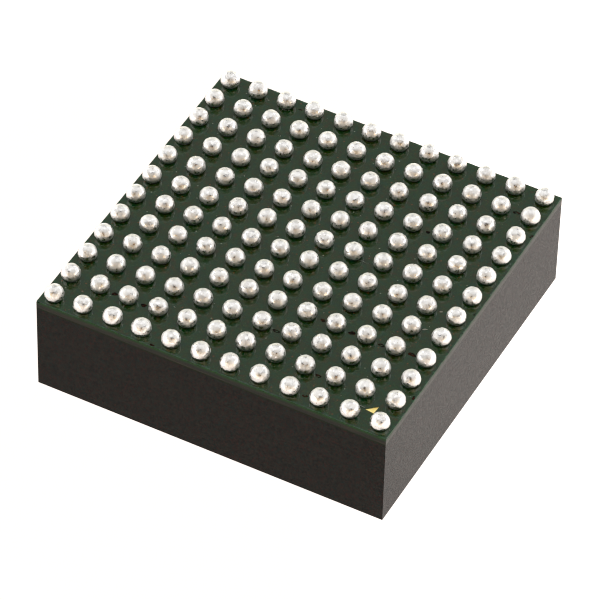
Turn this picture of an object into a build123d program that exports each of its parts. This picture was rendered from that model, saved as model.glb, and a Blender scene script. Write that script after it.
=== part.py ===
# Encapsulated step-down power module in a ball-grid package, lying on its flat
# moulded face with the solder balls up. Millimetres, +Z up, origin at the centre
# of the moulded face that it lies on. X runs along the front edge, Y to the back.
# The corner ball of pin one is at +X, -Y.
import os

from build123d import *

os.makedirs("parts", exist_ok=True)

# ---------------------------------------------------------------- package
body_x = 15.00            # package length along X
body_y = 15.00            # package length along Y
cap_h = 4.00              # moulded cap, from the flat face to the laminate
laminate_t = 0.41         # laminate with both copper layers and both masks
ball_stand = 0.60         # ball height above the mask
ball_d = 0.75             # ball diameter
ball_pitch = 1.27
ball_n = 12               # balls along each side
pad_open_d = 0.63         # opening of the mask over each pad

mask_t = 0.03             # solder mask over copper
cu_t = 0.035              # outer copper layers
core_t = laminate_t - 2 * (mask_t + cu_t)

z_plane = cap_h                       # component side of the laminate
z_cu_low = z_plane + mask_t           # component-side copper, lower face
z_core_low = z_cu_low + cu_t
z_core_top = z_core_low + core_t
z_cu_top = z_core_top + cu_t          # ball-side copper, upper face
z_board = z_plane + laminate_t        # mask surface between the balls
z_ball = z_board + ball_stand - ball_d / 2
z_total = z_board + ball_stand

first = ball_pitch * (ball_n - 1) / 2     # 6.985, centre of the outer rows

# ---------------------------------------------------------------- ball side
# Copper planes of the ball side as (x low, x high, y low, y high). The gaps
# between them run midway between rows of balls.
edge = 7.20               # copper stays this far from the centre
apart = 2.74              # planes start here, the centre plane ends at 2.34
centre = 2.34
ball_planes = [
    (-centre, centre, -4.88, edge),            # ground, middle columns
    (-edge, edge, -2.34, 2.34),                # ground, middle rows
    (apart, edge, -4.88, -2.74),               # input, right
    (-edge, -apart, -4.88, -2.74),             # input, left
    (apart, edge, apart, edge),                # output, right
    (-edge, -apart, apart, edge),              # output, left
]
signal_pad_d = 0.75       # single pads of the two front rows
signal_rows = (-first, -first + ball_pitch)

via_d = 0.20
via_land_d = 0.26
# Single vias midway between two balls, with the side that their track runs to.
signal_vias = [
    (3.81, -5.715, 1),
    (-3.81, -5.715, 1),
    (-5.08, -5.715, -1),
    (3.81, -6.985, 1),
    (-1.27, -6.985, -1),
    (1.27, -6.985, 1),
]
loose_via = (2.54, -3.175)
plane_vias = (
    # outputs
    [(sx * x, y) for sx in (-1, 1) for x in (3.81, 5.08, 6.35) for y in (3.81, 5.08, 6.35)]
    + [(6.35, 5.715), (3.81, 3.175), (-3.81, 6.985)]
    # inputs
    + [(6.35, -3.175), (3.81, -3.175), (5.08, -3.175)]
    + [(-6.35, -3.175), (-5.08, -3.175), (-3.81, -3.175)]
    + [(sx * x, -4.445) for sx in (-1, 1) for x in (5.08, 6.35)]
    # ground
    + [(sx * 2.54, y) for sx in (-1, 1) for y in (-1.27, 0.0)]
    + [(1.27, -4.445), (0.0, -3.81), (-1.27, -3.81)]
    + [(0.0, y) for y in (2.54, 3.81, 5.08, 6.35)]
)

# Pin-one mark: a small plated triangle beside the corner ball.
mark = [(6.076, -6.493), (6.485, -6.540), (6.512, -6.116)]

# ---------------------------------------------------------------- components
joint_t = 0.04            # solder between the mask surface and a component
z_part = z_plane - joint_t            # mounting face of every component

# Power inductors: base plate, copper strap round it, channelled cap.
ind_x = 3.65              # centre, left and right
ind_y = 3.75
ind_w = 6.40              # along X
ind_l = 5.40              # ferrite along Y
strap_t = 0.35
strap_w = 3.00
strap_l = ind_l + 2 * strap_t
foot_t = 0.30
foot_l = 1.20
base_t = 1.10
channel_w = 3.20
channel_h = 0.45
ind_h = 3.30              # whole height
z_base_top = z_part - foot_t          # faces listed from the laminate downwards
z_base_low = z_base_top - base_t
z_strap_low = z_base_low - strap_t
z_ind_low = z_part - ind_h

# Transistor dies with their copper clips. (centre x, centre y, x, y)
die_t = 0.20
attach_t = 0.03
clip_t = 0.20
low_side = [(sx * 4.90, -0.95, 3.00, 1.90) for sx in (-1, 1)]
high_side = [(sx * 5.15, -3.25, 2.10, 1.50) for sx in (-1, 1)]
z_die_low = z_part - die_t
z_clip_top = z_die_low - attach_t
z_clip_low = z_clip_top - clip_t
# Clips: (centre y, width, plate outer x, riser outer x, foot inner x)
clips = [(-0.95, 1.40, 6.20, 3.15, 2.20), (-3.25, 1.00, 6.00, 3.60, 2.95)]
riser = 0.20

# Controller die with bond wires.
ctl_y = -4.00
ctl_w, ctl_l, ctl_t = 2.40, 2.20, 0.25
paddle_w, paddle_l = 2.90, 2.70
z_ctl_low = z_part - ctl_t
wire_d = 0.05
finger_w, finger_l = 0.20, 0.40
wires_x = 7               # wires on each long side
wires_y = 6               # wires on each short side
wire_pitch = 0.32
wire_rise = 0.16
finger_out = 0.72         # finger centre beyond the die edge
ctl_pocket_w, ctl_pocket_l, ctl_pocket_h = 4.50, 4.30, 0.75

# Chip parts: (centre x, centre y, along x?, length, width, height)
cap_in = [(sx * x, -5.30, False, 2.00, 1.25, 1.25) for sx in (-1, 1) for x in (4.00, 6.20)]
cap_out = [(sx * 1.00, y, True, 1.60, 0.80, 0.80) for sx in (-1, 1) for y in (-0.10, -1.20)]
cap_small = [(sx * 2.75, y, False, 1.00, 0.50, 0.50) for sx in (-1, 1) for y in (-4.60, -6.10)]
cap_small += [(sx * 0.65, -6.85, True, 1.00, 0.50, 0.50) for sx in (-1, 1)]
resistor = [(sx * x, -6.95, True, 1.00, 0.50, 0.35) for sx in (-1, 1) for x in (2.05, 3.50, 4.90)]
wrap = 0.02               # thickness of a chip terminal
term_share = 0.20         # terminal length over chip length

chips = cap_in + cap_out + cap_small + resistor


def chip_ends(c):
    """Centre and size of both terminals of a chip, seen from above."""
    x, y, along_x, length, width, _ = c
    t = length * term_share
    off = (length - t) / 2
    if along_x:
        return [(x - off, y, t, width), (x + off, y, t, width)]
    return [(x, y - off, width, t), (x, y + off, width, t)]


def chip_size(c):
    """Length along X and along Y of a chip."""
    return (c[3], c[4]) if c[2] else (c[4], c[3])


# Solder joints and their copper lands, seen from above: (x, y, size x, size y)
chip_joints = [e for c in chips for e in chip_ends(c)]
strap_joints = [
    (sx * ind_x, ind_y + sy * (strap_l / 2 - foot_l / 2), strap_w, foot_l)
    for sx in (-1, 1) for sy in (-1, 1)
]
die_joints = low_side + high_side
clip_joints = [
    (sx * (xi + xr - riser) / 2, y, xr - riser - xi, w)
    for sx in (-1, 1) for (y, w, _, xr, xi) in clips
]
fingers = []
for k in range(wires_x):
    fx = (k - (wires_x - 1) / 2) * wire_pitch
    for s in (-1, 1):
        fingers.append((fx, ctl_y + s * (ctl_l / 2 + finger_out), finger_w, finger_l, 0, s))
for k in range(wires_y):
    fy = ctl_y + (k - (wires_y - 1) / 2) * wire_pitch
    for s in (-1, 1):
        fingers.append((s * (ctl_w / 2 + finger_out), fy, finger_l, finger_w, s, 0))

# Copper planes of the component side: (x low, x high, y low, y high)
side_planes = []
for sx in (-1, 1):
    for x0, x1, y0, y1 in [
        (3.20, edge, -2.15, 2.30),             # switch node
        (2.85, 3.48, -3.95, -2.15),            # switch node, to the upper clip foot
        (3.20, 3.48, -2.30, -2.00),            # joins the two
        (3.66, edge, -4.80, -2.35),            # input
        (3.30, edge, -4.80, -4.15),            # input, to the capacitors
        (3.30, edge, -6.45, -5.95),            # ground, to the capacitors
        (2.15, 3.00, -1.90, 0.35),             # ground, to the lower clip foot
        (0.40, edge, 2.60, edge),              # output
    ]:
        side_planes.append((min(sx * x0, sx * x1), max(sx * x0, sx * x1), y0, y1))
side_planes.append((-0.20, 0.20, 2.60, edge))  # ground between the outputs


# ---------------------------------------------------------------- laminate
with BuildPart() as substrate_core:
    with BuildSketch(Plane.XY.offset(z_core_low)):
        Rectangle(body_x, body_y)
        with Locations(*[(x, y) for x, y in plane_vias]):
            Circle(via_d / 2, mode=Mode.SUBTRACT)
        with Locations(*[(x, y) for x, y, _ in signal_vias], loose_via):
            Circle(via_d / 2, mode=Mode.SUBTRACT)
    extrude(amount=core_t)
substrate_core.part.label = "substrate_core"

with BuildPart() as plated_vias:
    with BuildSketch(Plane.XY.offset(z_core_low)):
        with Locations(*[(x, y) for x, y in plane_vias]):
            Circle(via_d / 2)
        with Locations(*[(x, y) for x, y, _ in signal_vias], loose_via):
            Circle(via_d / 2)
    extrude(amount=core_t)
plated_vias.part.label = "plated_vias"

with BuildPart() as ball_side_copper:
    with BuildSketch(Plane.XY.offset(z_core_top)) as ball_copper_shape:
        for x0, x1, y0, y1 in ball_planes:
            with Locations(((x0 + x1) / 2, (y0 + y1) / 2)):
                Rectangle(x1 - x0, y1 - y0)
        with Locations(*[(first - k * ball_pitch, y) for k in range(ball_n) for y in signal_rows]):
            Circle(signal_pad_d / 2)
        for x, y, s in signal_vias:
            with Locations((x, y)):
                Circle(via_land_d / 2)
            with Locations((x + s * ball_pitch / 4, y)):
                Rectangle(ball_pitch / 2, 0.12)
        with Locations(loose_via):
            Circle(via_land_d / 2)
        # the plated mark is an island of its own
        with BuildLine():
            Polyline(*mark, close=True)
        make_face(mode=Mode.SUBTRACT)
    extrude(amount=cu_t)
ball_side_copper.part.label = "ball_side_copper"

with BuildPart() as pin_one_mark:
    with BuildSketch(Plane.XY.offset(z_core_top)):
        with BuildLine():
            Polyline(*mark, close=True)
        make_face()
    extrude(amount=cu_t)
pin_one_mark.part.label = "pin_one_mark"

# The mask fills between the copper and covers it, up to the pad openings.
with BuildPart() as ball_side_solder_mask:
    with BuildSketch(Plane.XY.offset(z_core_top)):
        Rectangle(body_x, body_y)
    extrude(amount=cu_t + mask_t)
    with BuildSketch(Plane.XY.offset(z_cu_top)):
        with GridLocations(ball_pitch, ball_pitch, ball_n, ball_n):
            Circle(pad_open_d / 2)
        with BuildLine():
            Polyline(*mark, close=True)
        make_face()
    extrude(amount=mask_t, mode=Mode.SUBTRACT)
    add(ball_side_copper.part, mode=Mode.SUBTRACT)
    add(pin_one_mark.part, mode=Mode.SUBTRACT)
ball_side_solder_mask.part.label = "ball_side_solder_mask"

with BuildPart() as component_side_copper:
    with BuildSketch(Plane.XY.offset(z_cu_low)):
        for x0, x1, y0, y1 in side_planes:
            with Locations(((x0 + x1) / 2, (y0 + y1) / 2)):
                Rectangle(x1 - x0, y1 - y0)
        for x, y, wx, wy in chip_joints:
            with Locations((x, y)):
                Rectangle(wx + 0.08, wy + 0.08)
        for x, y, wx, wy, _, _ in fingers:
            with Locations((x, y)):
                Rectangle(wx, wy)
        with Locations((0, ctl_y)):
            Rectangle(paddle_w, paddle_l)
        with Locations(*[(x, y) for x, y, _ in signal_vias], loose_via):
            Circle(via_land_d / 2)
        with Locations(*[(0.0, y) for y in (2.54, 3.81, 5.08, 6.35)]):
            Circle(via_land_d / 2)
        with Locations((-1.27, -3.81)):
            Circle(via_land_d / 2)
    extrude(amount=cu_t)
component_side_copper.part.label = "component_side_copper"

all_joints = chip_joints + strap_joints + die_joints + clip_joints
with BuildPart() as component_side_solder_mask:
    with BuildSketch(Plane.XY.offset(z_plane)):
        Rectangle(body_x, body_y)
    extrude(amount=mask_t + cu_t)
    with BuildSketch(Plane.XY.offset(z_plane)):
        for x, y, wx, wy in all_joints:
            with Locations((x, y)):
                Rectangle(wx, wy)
        for x, y, wx, wy, _, _ in fingers:
            with Locations((x, y)):
                Rectangle(wx, wy)
        with Locations((0, ctl_y)):
            Rectangle(ctl_w, ctl_l)
    extrude(amount=mask_t, mode=Mode.SUBTRACT)
    add(component_side_copper.part, mode=Mode.SUBTRACT)
component_side_solder_mask.part.label = "component_side_solder_mask"

# ---------------------------------------------------------------- solder balls
# Each ball wets the pad through its mask opening and stands 0.60 above the mask.
with BuildPart() as solder_balls:
    with BuildSketch(Plane.XY.offset(z_cu_top)):
        with GridLocations(ball_pitch, ball_pitch, ball_n, ball_n):
            Circle(pad_open_d / 2)
    extrude(amount=mask_t)
    with BuildPart(mode=Mode.PRIVATE) as ball:
        with Locations((0, 0, z_ball)):
            Sphere(ball_d / 2)
        split(bisect_by=Plane.XY.offset(z_board), keep=Keep.TOP)
    with GridLocations(ball_pitch, ball_pitch, ball_n, ball_n):
        add(ball.part)
solder_balls.part.label = "solder_balls"

# ---------------------------------------------------------------- inductors
for side, name in ((-1, "left"), (1, "right")):
    cx = side * ind_x

    with BuildPart() as inductor_base:
        with Locations((cx, ind_y, (z_base_low + z_base_top) / 2)):
            Box(ind_w, ind_l, base_t)
        chamfer(inductor_base.edges().filter_by(Axis.Z), 0.15)
    inductor_base.part.label = name + "_inductor_base"
    export_step(inductor_base.part, "parts/" + name + "_inductor_base.step")

    with BuildPart() as inductor_cap:
        with Locations((cx, ind_y, (z_ind_low + z_base_low) / 2)):
            Box(ind_w, ind_l, z_base_low - z_ind_low)
        chamfer(inductor_cap.edges().filter_by(Axis.Z), 0.15)
        with Locations((cx, ind_y, z_base_low - channel_h / 2)):
            Box(channel_w, ind_l, channel_h, mode=Mode.SUBTRACT)
    inductor_cap.part.label = name + "_inductor_cap"
    export_step(inductor_cap.part, "parts/" + name + "_inductor_cap.step")

    # Flat strap: over the base plate inside the channel, down both ends, feet in.
    with BuildPart() as inductor_strap:
        with BuildSketch(Plane.YZ.offset(cx - strap_w / 2)):
            with BuildLine():
                Polyline(
                    (ind_y - strap_l / 2, z_part),
                    (ind_y - strap_l / 2 + foot_l, z_part),
                    (ind_y - strap_l / 2 + foot_l, z_base_top),
                    (ind_y - ind_l / 2, z_base_top),
                    (ind_y - ind_l / 2, z_base_low),
                    (ind_y + ind_l / 2, z_base_low),
                    (ind_y + ind_l / 2, z_base_top),
                    (ind_y + strap_l / 2 - foot_l, z_base_top),
                    (ind_y + strap_l / 2 - foot_l, z_part),
                    (ind_y + strap_l / 2, z_part),
                    (ind_y + strap_l / 2, z_strap_low),
                    (ind_y - strap_l / 2, z_strap_low),
                    close=True,
                )
            make_face()
        extrude(amount=strap_w)
        outer = inductor_strap.edges().filter_by(Axis.X).group_by(Axis.Z)[0]
        fillet(outer, 0.25)
    inductor_strap.part.label = name + "_inductor_strap"
    export_step(inductor_strap.part, "parts/" + name + "_inductor_strap.step")

# ---------------------------------------------------------------- transistors
with BuildPart() as low_side_mosfets:
    for x, y, wx, wy in low_side:
        with Locations((x, y, z_part - die_t / 2)):
            Box(wx, wy, die_t)
low_side_mosfets.part.label = "low_side_mosfets"

with BuildPart() as high_side_mosfets:
    for x, y, wx, wy in high_side:
        with Locations((x, y, z_part - die_t / 2)):
            Box(wx, wy, die_t)
high_side_mosfets.part.label = "high_side_mosfets"

# Each clip lies flat on its die, steps down beside it and ends in a foot.
with BuildPart() as mosfet_clips:
    for side in (-1, 1):
        for y, w, x_out, x_riser, x_foot in clips:
            with BuildSketch(Plane.XZ.offset(-(y + w / 2))):
                with BuildLine():
                    Polyline(
                        (side * x_out, z_clip_top),
                        (side * x_riser, z_clip_top),
                        (side * x_riser, z_part),
                        (side * x_foot, z_part),
                        (side * x_foot, z_part - clip_t),
                        (side * (x_riser - riser), z_part - clip_t),
                        (side * (x_riser - riser), z_clip_low),
                        (side * x_out, z_clip_low),
                        close=True,
                    )
                make_face()
            extrude(amount=w)
mosfet_clips.part.label = "mosfet_clips"

with BuildPart() as clip_solder:
    for side in (-1, 1):
        for (y, w, x_out, x_riser, _), (dx, _, dwx, _) in zip(clips, (low_side[1], high_side[1])):
            x0 = dx - dwx / 2 + 0.15
            with Locations((side * (x0 + x_out) / 2, y, z_die_low - attach_t / 2)):
                Box(x_out - x0, w, attach_t)
clip_solder.part.label = "clip_solder"

# ---------------------------------------------------------------- controller
with BuildPart() as controller_die:
    with Locations((0, ctl_y, z_part - ctl_t / 2)):
        Box(ctl_w, ctl_l, ctl_t)
controller_die.part.label = "controller_die"

with BuildPart() as controller_die_attach:
    with Locations((0, ctl_y, (z_part + z_cu_low) / 2)):
        Box(ctl_w, ctl_l, z_cu_low - z_part)
controller_die_attach.part.label = "controller_die_attach"

with BuildPart() as controller_bond_wires:
    for x, y, _, _, dx, dy in fingers:
        # from a pad near the die edge, over the edge, to the finger on the laminate
        px = x if dy else dx * (ctl_w / 2 - 0.12)
        py = y if dx else ctl_y + dy * (ctl_l / 2 - 0.12)
        z_loop = z_ctl_low - wire_rise
        mx = px + dx * 0.30
        my = py + dy * 0.30
        with BuildLine() as route:
            FilletPolyline((px, py, z_ctl_low), (px, py, z_loop), (mx, my, z_loop), (x, y, z_cu_low), radius=0.07)
        with BuildSketch(Plane(origin=route.line @ 0, z_dir=route.line % 0)):
            Circle(wire_d / 2)
        sweep(path=route.line)
    # the bonds end flat on the fingers
    split(bisect_by=Plane.XY.offset(z_cu_low), keep=Keep.BOTTOM)
controller_bond_wires.part.label = "controller_bond_wires"

# ---------------------------------------------------------------- chip parts
def chip_bodies(group):
    """Ceramic bricks of a group of chips."""
    for c in group:
        lx, ly = chip_size(c)
        with Locations((c[0], c[1], z_part - c[5] / 2)):
            Box(lx - 2 * wrap, ly - 2 * wrap, c[5] - 2 * wrap)


def chip_terminals(group):
    """Five-sided end caps round the bricks of a group of chips."""
    for c in group:
        for x, y, wx, wy in chip_ends(c):
            with Locations((x, y, z_part - c[5] / 2)):
                Box(wx, wy, c[5])
    for c in group:
        lx, ly = chip_size(c)
        with Locations((c[0], c[1], z_part - c[5] / 2)):
            Box(lx - 2 * wrap, ly - 2 * wrap, c[5] - 2 * wrap, mode=Mode.SUBTRACT)


with BuildPart() as input_capacitors:
    chip_bodies(cap_in)
input_capacitors.part.label = "input_capacitors"

with BuildPart() as input_capacitor_terminals:
    chip_terminals(cap_in)
input_capacitor_terminals.part.label = "input_capacitor_terminals"

with BuildPart() as output_capacitors:
    chip_bodies(cap_out)
output_capacitors.part.label = "output_capacitors"

with BuildPart() as output_capacitor_terminals:
    chip_terminals(cap_out)
output_capacitor_terminals.part.label = "output_capacitor_terminals"

with BuildPart() as small_capacitors:
    chip_bodies(cap_small)
small_capacitors.part.label = "small_capacitors"

with BuildPart() as small_capacitor_terminals:
    chip_terminals(cap_small)
small_capacitor_terminals.part.label = "small_capacitor_terminals"

with BuildPart() as resistors:
    chip_bodies(resistor)
resistors.part.label = "resistors"

with BuildPart() as resistor_terminals:
    chip_terminals(resistor)
resistor_terminals.part.label = "resistor_terminals"

# ---------------------------------------------------------------- solder joints
with BuildPart() as component_solder_joints:
    for x, y, wx, wy in all_joints:
        with Locations((x, y, (z_part + z_cu_low) / 2)):
            Box(wx, wy, z_cu_low - z_part)
component_solder_joints.part.label = "component_solder_joints"

# ---------------------------------------------------------------- moulded cap
# One block of moulding compound, sawn square, cast round the components.
with BuildPart() as mould_cap:
    with Locations((0, 0, cap_h / 2)):
        Box(body_x, body_y, cap_h)
    for side in (-1, 1):
        # ferrite
        with Locations((side * ind_x, ind_y, (z_ind_low + z_plane) / 2)):
            Box(ind_w, ind_l, z_plane - z_ind_low, mode=Mode.SUBTRACT)
        # strap ends
        with Locations((side * ind_x, ind_y, (z_strap_low + z_plane) / 2)):
            Box(strap_w, strap_l, z_plane - z_strap_low, mode=Mode.SUBTRACT)
        for (y, w, x_out, _, x_foot), (dx, _, dwx, dwy) in zip(clips, (low_side[1], high_side[1])):
            x_end = dx + dwx / 2
            # die
            with Locations((side * dx, y, (z_clip_top + z_plane) / 2)):
                Box(dwx, dwy, z_plane - z_clip_top, mode=Mode.SUBTRACT)
            # clip
            with Locations((side * (x_foot + x_out) / 2, y, (z_clip_low + z_plane) / 2)):
                Box(x_out - x_foot, w, z_plane - z_clip_low, mode=Mode.SUBTRACT)
    # controller with its wires
    with Locations((0, ctl_y, z_plane - ctl_pocket_h / 2)):
        Box(ctl_pocket_w, ctl_pocket_l, ctl_pocket_h, mode=Mode.SUBTRACT)
    # chips
    for c in chips:
        lx, ly = chip_size(c)
        with Locations((c[0], c[1], (z_plane + z_part - c[5]) / 2)):
            Box(lx, ly, c[5] + joint_t, mode=Mode.SUBTRACT)
mould_cap.part.label = "mould_cap"

# ---------------------------------------------------------------- files
export_step(mould_cap.part, "parts/mould_cap.step")
export_step(substrate_core.part, "parts/substrate_core.step")
export_step(plated_vias.part, "parts/plated_vias.step")
export_step(ball_side_copper.part, "parts/ball_side_copper.step")
export_step(pin_one_mark.part, "parts/pin_one_mark.step")
export_step(ball_side_solder_mask.part, "parts/ball_side_solder_mask.step")
export_step(component_side_copper.part, "parts/component_side_copper.step")
export_step(component_side_solder_mask.part, "parts/component_side_solder_mask.step")
export_step(solder_balls.part, "parts/solder_balls.step")
export_step(low_side_mosfets.part, "parts/low_side_mosfets.step")
export_step(high_side_mosfets.part, "parts/high_side_mosfets.step")
export_step(mosfet_clips.part, "parts/mosfet_clips.step")
export_step(clip_solder.part, "parts/clip_solder.step")
export_step(controller_die.part, "parts/controller_die.step")
export_step(controller_die_attach.part, "parts/controller_die_attach.step")
export_step(controller_bond_wires.part, "parts/controller_bond_wires.step")
export_step(input_capacitors.part, "parts/input_capacitors.step")
export_step(input_capacitor_terminals.part, "parts/input_capacitor_terminals.step")
export_step(output_capacitors.part, "parts/output_capacitors.step")
export_step(output_capacitor_terminals.part, "parts/output_capacitor_terminals.step")
export_step(small_capacitors.part, "parts/small_capacitors.step")
export_step(small_capacitor_terminals.part, "parts/small_capacitor_terminals.step")
export_step(resistors.part, "parts/resistors.step")
export_step(resistor_terminals.part, "parts/resistor_terminals.step")
export_step(component_solder_joints.part, "parts/component_solder_joints.step")
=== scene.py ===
# Looks of an encapsulated power module that lies on its moulded face, balls up.
# Lengths in the geometry code are millimetres and are scaled to metres at the end.
import math

import bmesh
import bpy
import numpy as np
from mathutils import Matrix, Vector


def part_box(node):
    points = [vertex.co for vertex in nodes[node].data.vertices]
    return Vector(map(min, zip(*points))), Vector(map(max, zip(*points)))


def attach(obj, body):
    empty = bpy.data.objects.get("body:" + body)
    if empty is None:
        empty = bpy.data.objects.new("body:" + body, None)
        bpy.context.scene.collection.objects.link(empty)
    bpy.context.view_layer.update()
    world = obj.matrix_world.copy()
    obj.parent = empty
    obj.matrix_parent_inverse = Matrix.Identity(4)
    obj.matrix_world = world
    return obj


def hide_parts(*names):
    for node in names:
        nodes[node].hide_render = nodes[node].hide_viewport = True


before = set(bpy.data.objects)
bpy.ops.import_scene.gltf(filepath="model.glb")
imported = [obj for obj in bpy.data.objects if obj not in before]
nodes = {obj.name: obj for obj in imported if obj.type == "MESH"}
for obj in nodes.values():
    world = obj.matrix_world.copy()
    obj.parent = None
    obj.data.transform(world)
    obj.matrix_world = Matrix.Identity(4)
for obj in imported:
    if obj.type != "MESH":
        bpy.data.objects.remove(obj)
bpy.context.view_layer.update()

MM = 0.001
SOLDER_ROUGH = (0.24, 0.60)

# ------------------------------------------------------------------ sizes
board_lo, board_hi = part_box("ball_side_solder_mask")
ball_lo, ball_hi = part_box("solder_balls")
half = board_hi.x / MM                      # 7.5
z_mask = board_hi.z / MM                    # surface between the balls
z_mask_low = board_lo.z / MM                # lower face of the copper layer
z_pad = ball_lo.z / MM                      # copper under the balls
z_top = ball_hi.z / MM
pitch = 1.27
count = 12
first = pitch * (count - 1) / 2
ball_r = 0.375
z_ball = z_top - ball_r
open_r = 0.315
copper_edge, apart, centre = 7.20, 2.74, 2.34
planes = [
    (-centre, centre, -4.88, copper_edge),
    (-copper_edge, copper_edge, -2.34, 2.34),
    (apart, copper_edge, -4.88, -2.74),
    (-copper_edge, -apart, -4.88, -2.74),
    (apart, copper_edge, apart, copper_edge),
    (-copper_edge, -apart, apart, copper_edge),
]
mark_corners = [(6.076, -6.493), (6.485, -6.540), (6.512, -6.116)]
# ends of filled vias that show through the mask: x, y, half length, half width
via_marks = [
    (6.33, 5.84, 0.13, 0.080),
    (3.82, 3.175, 0.10, 0.06),
    (6.33, -3.09, 0.15, 0.095),
    (2.53, -3.10, 0.11, 0.07),
    (3.82, -3.175, 0.14, 0.09),
    (5.09, -3.21, 0.12, 0.08),
    (1.26, -4.48, 0.13, 0.08),
    (-3.81, -5.715, 0.13, 0.08),
    (-5.08, -5.715, 0.12, 0.08),
    (3.77, -5.81, 0.11, 0.08),
    (3.82, -6.985, 0.10, 0.07),
    (-3.81, 6.985, 0.07, 0.05),
    (7.42, 4.92, 0.05, 0.09),
    (7.43, 0.02, 0.04, 0.08),
    (7.42, -5.10, 0.06, 0.09),
    (-2.50, -7.42, 0.09, 0.05),
]


# ------------------------------------------------------------------ mesh help
def build(name, verts, quads=(), tris=(), smooth=True, sharp_angle=None):
    """A mesh object from arrays in millimetres."""
    verts = np.asarray(verts, np.float64) * MM
    quads = np.asarray(quads, np.int32).reshape(-1, 4)
    tris = np.asarray(tris, np.int32).reshape(-1, 3)
    me = bpy.data.meshes.new(name)
    me.vertices.add(len(verts))
    me.vertices.foreach_set("co", verts.astype(np.float32).ravel())
    loops = np.concatenate([quads.ravel(), tris.ravel()])
    me.loops.add(len(loops))
    me.loops.foreach_set("vertex_index", loops)
    sizes = np.concatenate([np.full(len(quads), 4), np.full(len(tris), 3)]).astype(np.int32)
    starts = np.concatenate([[0], np.cumsum(sizes)[:-1]]).astype(np.int32)
    me.polygons.add(len(sizes))
    me.polygons.foreach_set("loop_start", starts)
    me.update(calc_edges=True)
    me.validate()
    me.polygons.foreach_set("use_smooth", np.full(len(sizes), smooth))
    if sharp_angle is not None:
        me.set_sharp_from_angle(angle=sharp_angle)
    o = bpy.data.objects.new(name, me)
    bpy.context.scene.collection.objects.link(o)
    return o


def smoothstep(a, b, x):
    t = np.clip((x - a) / (b - a), 0, 1)
    return t * t * (3 - 2 * t)


class Waves:
    """Smooth seeded noise: a sum of waves with random directions and phases."""

    def __init__(self, rng, k, n=24, dims=3, spread=0.35):
        v = rng.normal(size=(n, dims))
        v /= np.linalg.norm(v, axis=1)[:, None]
        self.w = v * (k * rng.uniform(1 - spread, 1 + spread, size=n))[:, None]
        self.p = rng.uniform(0, 2 * math.pi, size=n)
        self.s = math.sqrt(2.0 / n)

    def __call__(self, x):
        return np.cos(x @ self.w.T + self.p).sum(-1) * self.s


# ------------------------------------------------------------------ materials
class Nodes:
    """Short way to write a node tree."""

    def __init__(self, tree):
        self.t = tree
        self.t.nodes.clear()

    def add(self, kind, **props):
        n = self.t.nodes.new(kind)
        for k, v in props.items():
            setattr(n, k, v)
        return n

    def link(self, a, b):
        self.t.links.new(a, b)

    def put(self, socket, value):
        if isinstance(value, bpy.types.NodeSocket):
            self.link(value, socket)
        else:
            socket.default_value = value

    def math(self, op, a, b=None, c=None, clamp=False):
        n = self.add("ShaderNodeMath", operation=op, use_clamp=clamp)
        self.put(n.inputs[0], a)
        if b is not None:
            self.put(n.inputs[1], b)
        if c is not None:
            self.put(n.inputs[2], c)
        return n.outputs[0]

    def vmath(self, op, a, b=None):
        n = self.add("ShaderNodeVectorMath", operation=op)
        self.put(n.inputs[0], a)
        if b is not None:
            self.put(n.inputs[1], b)
        return n.outputs["Value"] if op in ("DOT_PRODUCT", "LENGTH", "DISTANCE") else n.outputs[0]

    def ramp(self, x, lo, hi, out_lo=0.0, out_hi=1.0, smooth=True):
        n = self.add("ShaderNodeMapRange", interpolation_type="SMOOTHSTEP" if smooth else "LINEAR", clamp=True)
        self.put(n.inputs["Value"], x)
        n.inputs["From Min"].default_value = lo
        n.inputs["From Max"].default_value = hi
        n.inputs["To Min"].default_value = out_lo
        n.inputs["To Max"].default_value = out_hi
        return n.outputs["Result"]

    def mix(self, fac, a, b):
        n = self.add("ShaderNodeMix", data_type="RGBA")
        self.put(n.inputs[0], fac)
        self.put(n.inputs[6], a if isinstance(a, bpy.types.NodeSocket) else (*a, 1.0))
        self.put(n.inputs[7], b if isinstance(b, bpy.types.NodeSocket) else (*b, 1.0))
        return n.outputs[2]

    def coords(self, scale=(1000, 1000, 1000), offset=(0, 0, 0)):
        """Object coordinates in millimetres, times a further scale."""
        c = self.add("ShaderNodeTexCoord")
        m = self.add("ShaderNodeMapping")
        self.link(c.outputs["Object"], m.inputs["Vector"])
        m.inputs["Scale"].default_value = scale
        m.inputs["Location"].default_value = offset
        return m.outputs["Vector"]

    def noise(self, vec, scale, detail=3.0, rough=0.55, distort=0.0):
        n = self.add("ShaderNodeTexNoise", noise_dimensions="3D")
        self.link(vec, n.inputs["Vector"])
        n.inputs["Scale"].default_value = scale
        n.inputs["Detail"].default_value = detail
        n.inputs["Roughness"].default_value = rough
        n.inputs["Distortion"].default_value = distort
        return n.outputs["Fac"]

    def voronoi(self, vec, scale, feature="F1", randomness=1.0):
        n = self.add("ShaderNodeTexVoronoi", feature=feature)
        self.link(vec, n.inputs["Vector"])
        n.inputs["Scale"].default_value = scale
        n.inputs["Randomness"].default_value = randomness
        return n

    def bump(self, height, strength, distance, normal=None):
        n = self.add("ShaderNodeBump")
        n.inputs["Strength"].default_value = strength
        n.inputs["Distance"].default_value = distance
        self.link(height, n.inputs["Height"])
        if normal is not None:
            self.link(normal, n.inputs["Normal"])
        return n.outputs["Normal"]


def material(name):
    m = bpy.data.materials.new(name)
    m.use_nodes = True
    n = Nodes(m.node_tree)
    out = n.add("ShaderNodeOutputMaterial")
    p = n.add("ShaderNodeBsdfPrincipled")
    n.link(p.outputs[0], out.inputs["Surface"])
    return m, n, p


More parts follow.
